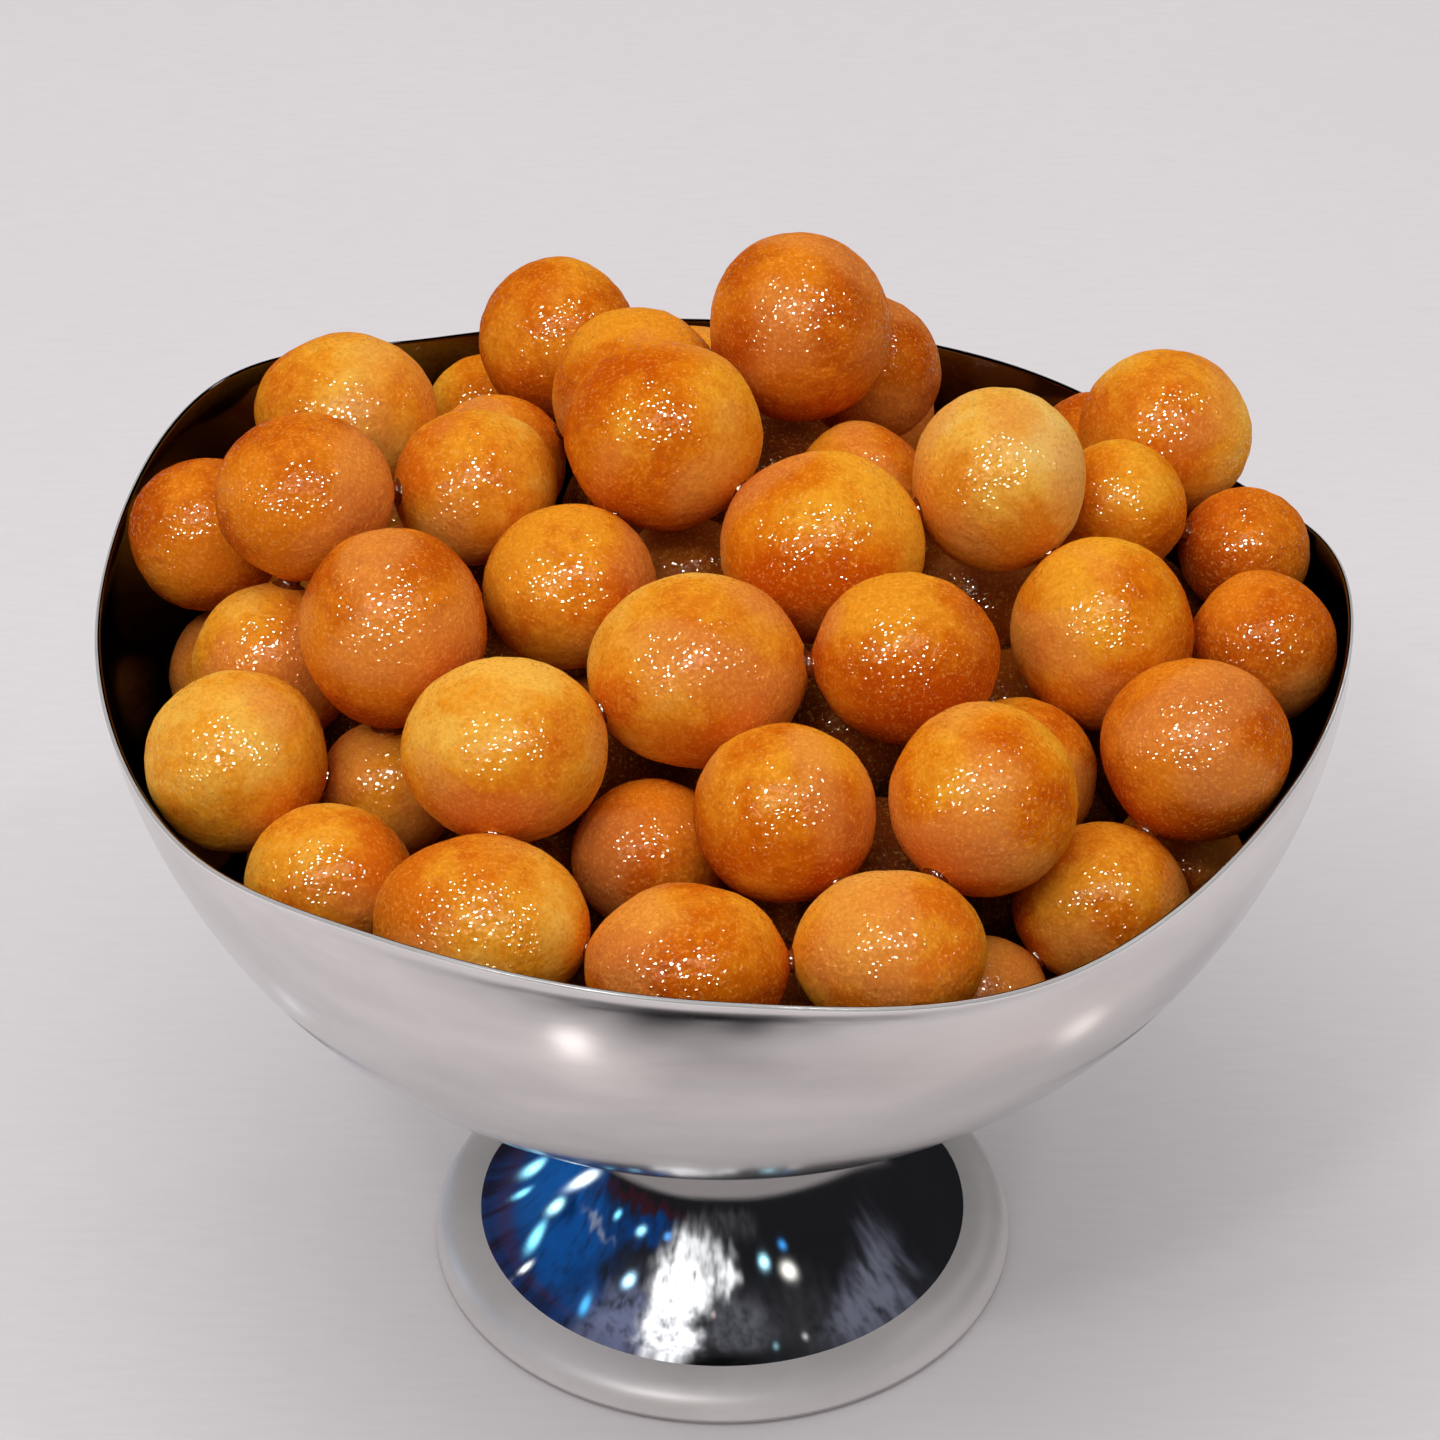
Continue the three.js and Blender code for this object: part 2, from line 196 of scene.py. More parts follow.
def icosphere(detail):
    """Unit vectors and triangles of an icosahedron whose edges are cut into detail parts."""
    golden = (1 + math.sqrt(5)) / 2
    corners = [(-1, golden, 0), (1, golden, 0), (-1, -golden, 0), (1, -golden, 0)]
    corners += [(0, -1, golden), (0, 1, golden), (0, -1, -golden), (0, 1, -golden)]
    corners += [(golden, 0, -1), (golden, 0, 1), (-golden, 0, -1), (-golden, 0, 1)]
    corners = np.array(corners, float)
    sides = [(0, 11, 5), (0, 5, 1), (0, 1, 7), (0, 7, 10), (0, 10, 11)]
    sides += [(1, 5, 9), (5, 11, 4), (11, 10, 2), (10, 7, 6), (7, 1, 8)]
    sides += [(3, 9, 4), (3, 4, 2), (3, 2, 6), (3, 6, 8), (3, 8, 9)]
    sides += [(4, 9, 5), (2, 4, 11), (6, 2, 10), (8, 6, 7), (9, 8, 1)]
    points = []
    number = {}
    faces = []
    for a, b, c in corners[np.array(sides)]:
        grid = {}
        for i in range(detail + 1):
            for j in range(detail + 1 - i):
                p = a + (b - a) * (i / detail) + (c - a) * (j / detail)
                p /= np.linalg.norm(p)
                key = tuple(np.round(p, 6) + 0.0)
                if key not in number:
                    number[key] = len(points)
                    points.append(p)
                grid[i, j] = number[key]
        for i in range(detail):
            for j in range(detail - i):
                faces.append((grid[i, j], grid[i + 1, j], grid[i, j + 1]))
                if i + j + 2 <= detail:
                    faces.append((grid[i + 1, j], grid[i + 1, j + 1], grid[i, j + 1]))
    return np.array(points), np.array(faces)


# ---- what the solids say ----


def solid_mesh(node):
    """Corners in millimetres, each once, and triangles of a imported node."""
    mesh = frame["nodes"][node].data
    mesh.calc_loop_triangles()
    corners = np.empty(3 * len(mesh.vertices))
    mesh.vertices.foreach_get("co", corners)
    triangles = np.empty(3 * len(mesh.loop_triangles), int)
    mesh.loop_triangles.foreach_get("vertices", triangles)
    corners = np.round(corners.reshape(-1, 3) / MM, 3)
    corners, number = np.unique(corners, axis=0, return_inverse=True)
    return corners, number.reshape(-1)[triangles].reshape(-1, 3)


def slot_of(node):
    return next(s["material_slot"] for s in frame["record"]["subparts"] if s["node"] == node)


class Form:
    """A round solid as a centre and a radius in every direction."""

    def __init__(self, node):
        corners, _ = solid_mesh(node)
        self.corners = len(corners)
        self.centre = (corners.min(0) + corners.max(0)) / 2
        spokes = corners - self.centre
        lengths = np.linalg.norm(spokes, axis=1)
        self.ways = spokes / lengths[:, None]
        self.lengths = lengths
        self.lengths = 2 * lengths - self.radius(self.ways)

    def radius(self, ways):
        nearness = np.exp(FORM_SHARPNESS * self.corners * (ways @ self.ways.T - 1))
        return nearness @ self.lengths / nearness.sum(1)


# ---- balls ----


def noise_at(points, size, shift):
    """Smooth noise from -1 to 1 at points in millimetres."""
    return np.array([noise.noise(Vector(p)) for p in points / size + shift])


def soft_step(values, low, high):
    t = np.clip((values - low) / (high - low), 0, 1)
    return t * t * (3 - 2 * t)


def skin_relief(points, rng):
    """How far the skin lies inside the plain form, in millimetres: dents, fine wrinkles and pebbling."""
    shift = rng.uniform(0, 100, (4, 3))
    dents = -noise_at(points, DENT_SIZE, shift[0])
    line = noise_at(points, WRINKLE_SIZE, shift[1])
    where = soft_step(noise_at(points, 2 * WRINKLE_SIZE, shift[2]), *WRINKLED)
    wrinkles = np.exp(-((line / WRINKLE_WIDTH) ** 2)) * where
    pebbles = -noise_at(points, PEBBLE_SIZE, shift[3])
    return DENT_DEPTH * dents + WRINKLE_DEPTH * wrinkles + PEBBLE_DEPTH * pebbles


def browning_and_shade(points, ways, rng):
    """0 where the crust is pale, 1 where darkest: browner patches, and painted shade on one side, mostly the
    lower.
    """
    patches = noise_at(points, BROWNING_SIZE, rng.uniform(0, 100, 3))
    mottle = sum(MOTTLE * noise_at(points, size, rng.uniform(0, 100, 3)) for size in MOTTLE_SIZES)
    side = rng.normal(0, 1, 3) + np.array([0, 0, -UNDERSIDE_SHADE])
    side /= np.linalg.norm(side)
    return np.clip(0.5 + BROWNING_PATCHES * patches + mottle + SIDE_BROWNING_AND_SHADE * ways @ side, 0, 1)


def dryness(points, ways, rng):
    """1 where the syrup has soaked in and the crust looks matt, else 0."""
    patches = noise_at(points, BROWNING_SIZE, rng.uniform(0, 100, 3))
    side = rng.normal(0, 1, 3)
    side /= np.linalg.norm(side)
    return soft_step(patches + DRY_SIDE * ways @ side, *DRY)


def touches(forms):
    """Balls that nearly touch: both numbers, the unit way from one to the other, and the gap."""
    found = []
    for i, a in enumerate(forms):
        for j, b in enumerate(forms[i + 1 :], i + 1):
            way = b.centre - a.centre
            distance = np.linalg.norm(way)
            way /= distance
            gap = distance - a.radius(way[None])[0] - b.radius(-way[None])[0]
            if gap < TOUCH_REACH:
                found.append((i, j, way, gap))
    return found


def round_touches(number, ways, touching, spread, amount):
    """Sums, round every neighbour that a ball touches, the amount for that gap, fading over the spread."""
    total = np.zeros(len(ways))
    for i, j, way, gap in touching:
        if number in (i, j):
            towards = way if number == i else -way
            total += amount(gap) * np.exp((ways @ towards - 1) / spread)
    return total


def closing(gap):
    """How far each of two balls bulges to close the gap between them, in millimetres."""
    return max(0, gap - TOUCH_GAP) / 2


def blistering(points, rng):
    """How strongly the skin under the syrup is blistered, from nearly smooth to 1."""
    zones = noise_at(points, BLISTER_ZONE, rng.uniform(0, 100, 3))
    return soft_step(zones, -BLISTER_EDGE, BLISTER_EDGE) * (1 - FEWEST_BLISTERS) + FEWEST_BLISTERS


def ball(node, form, grown, near_contact, sphere, material, key):
    """One dough ball in the form of its solid; its uneven skin is even where neighbours touch."""
    ways, faces = sphere
    rng = rng_for(key)
    plain = (form.radius(ways) + grown)[:, None] * ways + form.centre
    relief = skin_relief(plain, rng) * (1 - np.minimum(near_contact, 1))
    points = plain - relief[:, None] * ways
    # Round the contacts the crust is darkened, as painted shade between neighbours, and made less dry.
    soaked = CONTACT_SHADE * near_contact
    made = new_object("ball_" + node.rsplit("_", 1)[1], points, faces, [material])
    add_values(made, "browning_and_shade", browning_and_shade(plain, ways, rng) + soaked)
    add_values(made, "dryness", dryness(plain, ways, rng) * np.clip(1 - 2 * soaked, 0, 1))
    add_values(made, "blisters", blistering(plain, rng))
    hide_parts(node)
    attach(made, BODY)
    return made


# ---- lower layers ----


def lump_centres(corners, triangles):
    """Centres of the round lumps of a solid: where the facets of one lump agree that its middle is."""
    a, b, c = (corners[triangles[:, i]] for i in range(3))
    ab, ac = b - a, c - a
    normal = np.cross(ab, ac)
    double = np.maximum((normal**2).sum(1), 1e-9)[:, None]
    lean = np.cross(normal, ab) * (ac**2).sum(1)[:, None]
    lean += np.cross(ac, normal) * (ab**2).sum(1)[:, None]
    to_middle = lean / (2 * double)
    inward = LUMP_RADIUS**2 - (to_middle**2).sum(1)
    fits = inward > 0
    votes = (a + to_middle - normal / np.sqrt(double) * np.sqrt(np.maximum(inward, 0))[:, None])[fits]
    centres = []
    free = np.ones(len(votes), bool)
    for i, vote in enumerate(votes):
        near = free & (np.linalg.norm(votes - vote, axis=1) < LUMP_AGREEMENT)
        if free[i] and near.sum() >= LUMP_VOTES:
            centres.append(votes[near].mean(0))
            free &= ~near
    return np.array(centres)


def lower_layers(node, material):
    """The heap under the balls that show: round lumps fused where syrup joins them."""
    corners, triangles = solid_mesh(node)
    ways, faces = icosphere(LUMP_DETAIL)
    vertices = [corners]
    all_faces = [triangles]
    count = len(corners)
    for centre in lump_centres(corners, triangles):
        vertices.append(centre + LUMP_RADIUS * ways)
        all_faces.append(faces + count)
        count += len(ways)
    made = new_object("lower_balls", np.concatenate(vertices), np.concatenate(all_faces), [material])
    remesh = made.modifiers.new("fuse", "REMESH")
    remesh.mode = "VOXEL"
    remesh.voxel_size = VOXEL * MM
    remesh.use_smooth_shade = True
    smooth = made.modifiers.new("soften", "SMOOTH")
    smooth.iterations = SMOOTHING_ROUNDS
    bake_modifiers(made)
    points = np.empty(3 * len(made.data.vertices))
    made.data.vertices.foreach_get("co", points)
    points = points.reshape(-1, 3) / MM
    normals = np.empty(3 * len(made.data.vertices))
    made.data.vertices.foreach_get("normal", normals)
    normals = normals.reshape(-1, 3)
    rng = rng_for(0)
    points = points - skin_relief(points, rng)[:, None] * normals
    made.data.vertices.foreach_set("co", (points * MM).ravel())
    made.data.materials.clear()
    made.data.materials.append(material)
    made.data.polygons.foreach_set("use_smooth", [True] * len(made.data.polygons))
    made.data.update()
    add_values(made, "browning_and_shade", browning_and_shade(points, normals, rng))
    add_values(made, "dryness", 0 * points[:, 0])
    add_values(made, "blisters", blistering(points, rng))
    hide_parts(node)
    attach(made, BODY)
    return made


def bake_modifiers(obj):
    """Makes the modifiers' result the object's own mesh."""
    bpy.context.view_layer.update()
    evaluated = obj.evaluated_get(bpy.context.evaluated_depsgraph_get())
    mesh = bpy.data.meshes.new_from_object(evaluated)
    mesh.name = obj.name
    obj.modifiers.clear()
    obj.data = mesh


# ---- syrup that joins neighbours ----


def bridge(start, way, near, far, radius):
    """A short waisted neck of syrup of that radius, from near to far along way from start."""
    side = np.cross(way, [0.3, 0.5, 0.8])
    side /= np.linalg.norm(side)
    other = np.cross(way, side)
    angles = np.arange(BRIDGE_SIDES) * (2 * math.pi / BRIDGE_SIDES)
    vertices = [start + near * way]
    rings = [[0] * BRIDGE_SIDES]
    for step in range(BRIDGE_STEPS):
        share = step / (BRIDGE_STEPS - 1)
        width = radius * (1 - BRIDGE_WAIST * math.sin(math.pi * share) ** BRIDGE_FLARE)
        middle = start + (near + (far - near) * share) * way
        rings.append(list(range(len(vertices), len(vertices) + BRIDGE_SIDES)))
        vertices += [middle + width * (math.cos(t) * side + math.sin(t) * other) for t in angles]
    rings.append([len(vertices)] * BRIDGE_SIDES)
    vertices.append(start + far * way)
    return np.array(vertices), ring_faces(rings, BRIDGE_SIDES)


def syrup_bridges(forms, touching, material):
    """Necks of syrup round every place where two balls touch, as one piece."""
    vertices = []
    faces = []
    rng = rng_for(99)
    for i, j, way, gap in touching:
        grown = closing(gap)
        reach_a = forms[i].radius(way[None])[0] + grown
        reach_b = forms[j].radius(-way[None])[0] + grown
        radius = rng.uniform(*BRIDGE_RADIUS)
        distance = np.linalg.norm(forms[j].centre - forms[i].centre)
        near = math.sqrt(reach_a**2 - radius**2) - BRIDGE_SUNK
        far = distance - math.sqrt(reach_b**2 - radius**2) + BRIDGE_SUNK
        points, sides = bridge(forms[i].centre, way, near, far, radius)
        faces += [[c + len(vertices) if c >= 0 else -1 for c in face] for face in sides]
        vertices += list(points)
    made = new_object("syrup_necks", vertices, faces, [material])
    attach(made, BODY)
    return made


# ---- steel ----


def body_radius(height, widest):
    share = np.clip(height / BOWL_DEPTH, 0, 1)
    return widest * (1 - (1 - share) ** BOWL_SWELL) ** (1 / BOWL_FULLNESS)


def rim_height(angles):
    """A smooth closed curve through the named heights."""
    heights = np.array(RIM_HEIGHTS, float)
    place = angles / (2 * math.pi) * len(heights)
    i = np.floor(place).astype(int)
    t = place - i
    p0, p1, p2, p3 = (heights[(i + k) % len(heights)] for k in (-1, 0, 1, 2))
    bend = 2 * p0 - 5 * p1 + 4 * p2 - p3
    return p1 + 0.5 * t * (p2 - p0 + t * (bend + t * (3 * (p1 - p2) + p3 - p0)))


def bowl(outside, inside, lip):
    """The bowl as one sheet: the outer wall, a rounded lip along the wavy rim, and the inner wall."""
    angles = np.arange(BOWL_SIDES) * (2 * math.pi / BOWL_SIDES)
    top = rim_height(angles) - STEEL / 2
    shares = (np.arange(1, BOWL_ROWS + 1) / BOWL_ROWS) ** ROW_CROWDING
    rows = []
    for share in shares:
        height = share * (top - BOWL_BOTTOM)
        rows.append((body_radius(height, BOWL_RADIUS), BOWL_BOTTOM + height))
    outer = rows[-1][0]
    inner_bottom = BOWL_BOTTOM + STEEL
    inner = body_radius(top - inner_bottom, BOWL_RADIUS - STEEL)
    for step in range(1, LIP_STEPS):
        turn = math.pi * step / LIP_STEPS
        thickness = (outer - inner) / 2
        rows.append((outer - thickness * (1 - math.cos(turn)), top + STEEL / 2 * math.sin(turn)))
    for share in shares[::-1]:
        height = share * (top - inner_bottom)
        rows.append((body_radius(height, BOWL_RADIUS - STEEL), inner_bottom + height))
    vertices = [(0, 0, BOWL_BOTTOM)]
    rings = [[0] * BOWL_SIDES]
    for radius, height in rows:
        rings.append(list(range(len(vertices), len(vertices) + BOWL_SIDES)))
        vertices += list(zip(radius * np.cos(angles), radius * np.sin(angles), height))
    rings.append([len(vertices)] * BOWL_SIDES)
    vertices.append((0, 0, inner_bottom))
    made = new_object("bowl_steel", vertices, ring_faces(rings, BOWL_SIDES), [outside, inside, lip])
    row = np.repeat(np.arange(len(rings) - 1), BOWL_SIDES)
    kind = np.where(row <= BOWL_ROWS - 1, 0, np.where(row < BOWL_ROWS + LIP_STEPS / 2, 2, 1))
    made.data.polygons.foreach_set("material_index", kind)
    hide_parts("bowl")
    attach(made, BODY)
    return made


def foot_outline():
    """The outside of the foot from the floor to the bowl, and how many of its points are the band."""
    width = BASE_RADIUS - CREASE_RADIUS
    band = [(BASE_RADIUS + out, up) for out, up in EASE]
    for i in range(1, BAND_STEPS + 1):
        turn = (math.pi / 2) * (i / BAND_STEPS)
        out = math.cos(turn) ** (2 / BAND_SQUARENESS)
        up = math.sin(turn) ** (2 / BAND_SQUARENESS)
        band.append((CREASE_RADIUS + width * out, CREASE_HEIGHT * up))
    flare = []
    for i in range(1, FLARE_STEPS + 1):
        slope = FLARE_START + (math.pi / 2 - FLARE_START) * (i / FLARE_STEPS)
        inward = FLARE_RADIUS * (math.sin(slope) - math.sin(FLARE_START))
        up = FLARE_RADIUS * (math.cos(FLARE_START) - math.cos(slope))
        flare.append((CREASE_RADIUS - inward, CREASE_HEIGHT + up))
    neck = flare[-1][0]
    fillet = []
    for i in range(FILLET_STEPS + 1):
        turn = (math.pi / 2) * (i / FILLET_STEPS)
        out = NECK_FILLET * (1 - math.cos(turn))
        fillet.append((neck + out, NECK_TOP - NECK_FILLET * (1 - math.sin(turn))))
    return band + flare + fillet, len(band)


def foot(satin, mirror):
    """The foot: a satin band on the floor, a crease, and a mirror-bright flare up to the neck."""
    outline, band_points = foot_outline()
    steps = np.array(outline)
    ahead = np.roll(steps, -1, 0)
    behind = np.roll(steps, 1, 0)
    ahead[-1] = steps[-1]
    behind[0] = steps[0]
    run = ahead - behind
    run /= np.linalg.norm(run, axis=1)[:, None]
    lining = steps + STEEL * np.stack([-run[:, 1], run[:, 0]], 1)
    lining[:, 1] = np.clip(lining[:, 1], STEEL, NECK_TOP - STEEL)
    ring = BASE_RADIUS - BASE_FLANGE
    under = [(0, NECK_TOP - STEEL)] + [tuple(p) for p in lining[::-1]] + [(ring, STEEL), (ring, 0)]
    closed = under + outline + [(0, NECK_TOP)]
    vertices, faces = revolve(closed, FOOT_SIDES)
    made = new_object("foot_steel", vertices, faces, [mirror, satin])
    row = np.repeat(np.arange(len(closed) - 1), FOOT_SIDES)
    is_band = (row >= len(under) - 3) & (row < len(under) + band_points - 1)
    made.data.polygons.foreach_set("material_index", is_band.astype(int))
    crease_row = len(under) + band_points - 1
    mark_sharp(made, vertices, closed[crease_row])
    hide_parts("foot")
    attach(made, BODY)
    return made


def mark_sharp(obj, vertices, place):
    """Keeps the ring of edges at (radius, height) sharp."""
    radius, height = place
    out = np.hypot(vertices[:, 0], vertices[:, 1])
    on_ring = (abs(out - radius) < 1e-3) & (abs(vertices[:, 2] - height) < 1e-3)
    for edge in obj.data.edges:
        edge.use_edge_sharp = bool(on_ring[edge.vertices[0]] and on_ring[edge.vertices[1]])


# ---- materials ----


class Nodes:
    """Short calls for building one material's node tree."""

    def __init__(self, name):
        self.material = bpy.data.materials.new(name)
        self.material.use_nodes = True
        self.tree = self.material.node_tree
        self.tree.nodes.clear()
        self.shader = self.add("ShaderNodeBsdfPrincipled")
        self.output = self.add("ShaderNodeOutputMaterial")
        self.link(self.shader.outputs[0], self.output.inputs["Surface"])
        self.place = self.add("ShaderNodeTexCoord").outputs["Object"]

    def add(self, kind, **settings):
        node = self.tree.nodes.new(kind)
        for name, value in settings.items():
            setattr(node, name, value)
        return node

    def link(self, source, target):
        self.tree.links.new(source, target)

    def set(self, **values):
        """Sets the shader's own sockets; an underscore stands for a space."""
        for name, value in values.items():
            self.shader.inputs[name.replace("_", " ")].default_value = value

    def noise(self, scale, detail=2.0, rough=0.5, stretch=None):
        """Noise from 0 to 1; scale is in waves for each metre, and stretch squeezes it along each axis."""
        node = self.add("ShaderNodeTexNoise")
        node.inputs["Scale"].default_value = scale
        node.inputs["Detail"].default_value = detail
        node.inputs["Roughness"].default_value = rough
        place = self.place
        if stretch:
            mapping = self.add("ShaderNodeMapping")
            mapping.inputs["Scale"].default_value = stretch
            self.link(self.place, mapping.inputs["Vector"])
            place = mapping.outputs[0]
        self.link(place, node.inputs["Vector"])
        return node.outputs[0]

    def cells(self, scale):
        node = self.add("ShaderNodeTexVoronoi", feature="F1")
        node.inputs["Scale"].default_value = scale
        self.link(self.place, node.inputs["Vector"])
        return node

    def value(self, name):
        return self.add("ShaderNodeAttribute", attribute_name=name).outputs["Fac"]

    def ramp(self, factor, *stops):
        node = self.add("ShaderNodeValToRGB")
        ends = node.color_ramp.elements
        while len(ends) < len(stops):
            ends.new(0.5)
        for end, (place, colour) in zip(ends, stops):
            end.position = place
            end.color = colour if len(colour) == 4 else (*colour, 1)
        self.link(factor, node.inputs[0])
        return node.outputs[0]

    def grey(self, factor, low, high, dark=0.0, bright=1.0):
        """The factor stretched from low..high to dark..bright."""
        node = self.add("ShaderNodeMapRange")
        ends = (low, high, dark, bright)
        for socket, value in zip(node.inputs[1:5], ends):
            socket.default_value = value
        self.link(factor, node.inputs[0])
        return node.outputs[0]

    def mix(self, factor, a, b, blend="MIX"):
        """Two colours mixed; each is a colour or an output."""
        node = self.add("ShaderNodeMix", data_type="RGBA", blend_type=blend)
        for socket, given in ((node.inputs[0], factor), (node.inputs[6], a), (node.inputs[7], b)):
            if isinstance(given, bpy.types.NodeSocket):
                self.link(given, socket)
            elif isinstance(given, tuple):
                socket.default_value = (*given, 1)
            else:
                socket.default_value = given
        return node.outputs[2]

    def times(self, a, b):
        node = self.add("ShaderNodeMath", operation="MULTIPLY")
        for socket, given in zip(node.inputs, (a, b)):
            if isinstance(given, bpy.types.NodeSocket):
                self.link(given, socket)
            else:
                socket.default_value = given
        return node.outputs[0]

    def plus(self, a, b):
        node = self.add("ShaderNodeMath", operation="ADD")
        for socket, given in zip(node.inputs, (a, b)):
            self.link(given, socket)
        return node.outputs[0]

    def bump(self, height, depth, strength=1.0):
        """A bump whose full height is depth in millimetres."""
        node = self.add("ShaderNodeBump")
        node.inputs["Strength"].default_value = strength
        node.inputs["Distance"].default_value = depth * MM
        self.link(height, node.inputs["Height"])
        return node.outputs[0]

    def into(self, name, source):
        self.link(source, self.shader.inputs[name])


# Each tone of fried dough: its palest, middle and darkest colour; the darker ones go where the crust is
# browner and where shade is painted.
DOUGH = {
    "dough_palest": ((0.86, 0.53, 0.14), (0.83, 0.42, 0.05), (0.70, 0.23, 0.012)),
    "dough_pale": ((0.86, 0.44, 0.060), (0.79, 0.29, 0.014), (0.64, 0.135, 0.004)),
    "dough_golden": ((0.83, 0.34, 0.018), (0.71, 0.185, 0.003), (0.54, 0.080, 0.001)),
    "dough_amber": ((0.79, 0.28, 0.013), (0.62, 0.130, 0.002), (0.45, 0.058, 0.001)),
    "dough_dark": ((0.72, 0.19, 0.007), (0.53, 0.090, 0.002), (0.37, 0.041, 0.001)),
    # The deep tone is painted shade, for balls sunk in gaps of the heap.
    "dough_deep_shade": ((0.40, 0.09, 0.008), (0.26, 0.045, 0.003), (0.15, 0.020, 0.002)),
}
# Balls given another tone than the part's colour; luqaimat_12's darker tone and the deep tone are painted
# shade.
RETONED_BALLS = {
    "luqaimat_26": "dough_palest",
    "luqaimat_01": "dough_pale",
    "luqaimat_07": "dough_pale",
    "luqaimat_30": "dough_pale",
    "luqaimat_40": "dough_pale",
    "luqaimat_41": "dough_pale",
    "luqaimat_42": "dough_pale",
    "luqaimat_03": "dough_pale",
    "luqaimat_05": "dough_pale",
    "luqaimat_12": "dough_amber",
    "luqaimat_29": "dough_golden",
    "luqaimat_33": "dough_golden",
    "luqaimat_49": "dough_golden",
    "luqaimat_09": "dough_amber",
    "luqaimat_16": "dough_dark",
    "luqaimat_18": "dough_amber",
    "luqaimat_23": "dough_amber",
    "luqaimat_35": "dough_amber",
    "luqaimat_39": "dough_amber",
    "luqaimat_46": "dough_amber",
    "luqaimat_08": "dough_dark",
    "luqaimat_13": "dough_dark",
    "luqaimat_20": "dough_dark",
    "luqaimat_31": "dough_dark",
    "luqaimat_22": "dough_deep_shade",
    "luqaimat_28": "dough_deep_shade",
    "luqaimat_32": "dough_deep_shade",
    "luqaimat_38": "dough_deep_shade",
    "luqaimat_47": "dough_deep_shade",
}
# Painted shade: the lower layers' dough is far darker than crust, for the shade deep in the heap.
SHADED_LOWER_DOUGH = ((0.22, 0.040, 0.007), (0.12, 0.018, 0.004), (0.07, 0.010, 0.003))
DRY_CRUST = (0.74, 0.26, 0.055)
SPECK = (0.55, 0.14, 0.005)
CRUMB = (0.96, 0.50, 0.08)
FLECK_WAVES = 1300  # waves of a noise for each metre, here and below
BEAD_WAVES = 840


def dough(name, tones, gloss=1.0):
    """Fried dough under syrup: mottled crust with fine beads that catch the light."""
    n = Nodes(name)
    pale, middle, darkest = tones
    # The crust is darker where it is browner, and where shade is painted under the ball and round its
    # contacts.
    crust = n.ramp(n.value("browning_and_shade"), (0.08, pale), (0.5, middle), (0.95, darkest))
    dry = n.value("dryness")
    crust = n.mix(n.grey(dry, 0, 1, 0, 0.5), crust, DRY_CRUST)
    flecks = n.noise(FLECK_WAVES, detail=3, rough=0.65)
    crust = n.mix(n.grey(flecks, 0.50, 0.68, 0, 0.32), crust, SPECK)
    crust = n.mix(n.grey(flecks, 0.48, 0.32, 0, 0.34), crust, CRUMB)
    n.into("Base Color", crust)
    n.set(
        Roughness=0.6,
        IOR=1.35,
        Specular_IOR_Level=0.0,
        Coat_IOR=1.5,
        Coat_Roughness=0.16,
    )
    cell = n.cells(BEAD_WAVES)
    lives = n.grey(cell.outputs["Color"], 0.12, 0.16)
    dome = n.grey(n.times(cell.outputs["Distance"], cell.outputs["Distance"]), 0.0, 0.10, 1.0, 0.0)
    beads = n.times(n.times(dome, lives), n.value("blisters"))
    wet = n.times(beads, n.grey(dry, 0, 1, 1, 0.75))
    n.into("Coat Weight", n.grey(wet, 0.0, 0.2, 0.010 * gloss, gloss))
    ripples = n.times(n.noise(BEAD_WAVES, detail=1), 1.25)
    relief = n.bump(n.plus(n.times(beads, 0.5), ripples), 0.2)
    for socket in ("Normal", "Coat Normal"):
        n.into(socket, relief)
    return n.material


def syrup():
    """Dark amber syrup that has set between the balls."""
    n = Nodes("syrup")
    n.set(Roughness=0.14, IOR=1.47, Specular_IOR_Level=0.25)
    depth = n.noise(160)
    n.into("Base Color", n.ramp(depth, (0.3, (0.12, 0.016, 0.002)), (0.7, (0.28, 0.05, 0.004))))
    n.into("Normal", n.bump(n.noise(900, detail=1), 0.6))
    return n.material


DULLED = 0.88  # how much darker steel mirrors where it was rubbed less
ROUGH_WAVES = 14
RUBBED_WAVES = 26
STREAK_WAVES = 700
SHEET_WAVES = 30


def steel(name, colour, roughness, spread, grain, waviness, metal=1.0):
    """Stainless sheet: roughness with its soft spread, fine polishing grain, and slow waves of the metal."""
    n = Nodes(name)
    n.set(Metallic=metal, IOR=2.0)
    patches = n.noise(ROUGH_WAVES, detail=3, rough=0.5)
    rubbed = n.noise(RUBBED_WAVES, detail=4, rough=0.6, stretch=(1, 1, 3))
    dull = tuple(c * DULLED for c in colour)
    n.into("Base Color", n.ramp(rubbed, (0.35, dull), (0.62, colour)))
    n.into("Roughness", n.grey(patches, 0.35, 0.65, roughness - spread, roughness + spread))
    streaks = n.times(n.noise(STREAK_WAVES, detail=2, rough=0.5, stretch=(0.4, 0.4, 2.0)), grain)
    waves = n.times(n.noise(SHEET_WAVES, detail=2), waviness)
    n.into("Normal", n.bump(n.plus(streaks, waves), 1.0))
    return n.material


def glow(n):
    """Makes a material only glow, and leaves it out of the lights that are sampled."""
    n.set(Base_Color=(0, 0, 0, 1), Roughness=1.0, Specular_IOR_Level=0.0)
    n.material.cycles.emission_sampling = "NONE"
    return n.material


def plain_glow(name, colour, strength):
    n = Nodes(name)
    n.set(Emission_Color=(*colour, 1), Emission_Strength=strength)
    return glow(n)


